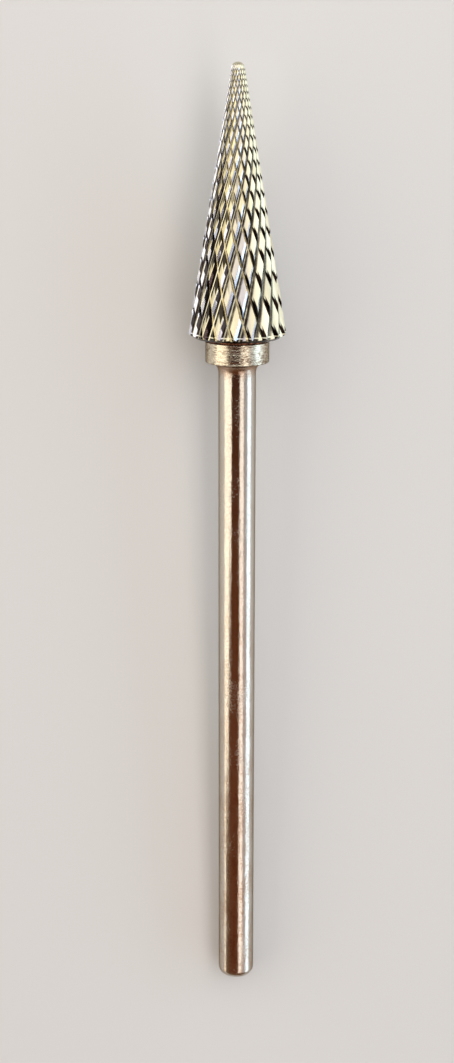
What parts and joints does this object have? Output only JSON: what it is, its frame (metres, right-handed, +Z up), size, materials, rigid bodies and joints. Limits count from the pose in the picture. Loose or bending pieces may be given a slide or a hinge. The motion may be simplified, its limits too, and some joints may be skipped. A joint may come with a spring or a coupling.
{
  "type": "dental bur",
  "caption": "Cone-shaped cross-cut carbide cutter head brazed onto a straight turned steel shank with a collar, for a dental laboratory handpiece.",
  "frame": {"origin": "middle of the footprint on the floor that the cutter lies on", "axes": "+Y towards the cutter's tip along its length, +Z up from the floor"},
  "size_m": [0.006, 0.0602, 0.006],
  "materials": {
    "carbide": "ground tungsten carbide, bright facets",
    "steel": "turned and polished stainless steel",
    "braze": "copper-brown braze filler"
  },
  "bodies": {
    "root": {"cutter_head": "carbide", "shank": "steel", "braze_joint": "braze"}
  },
  "joints": []
}
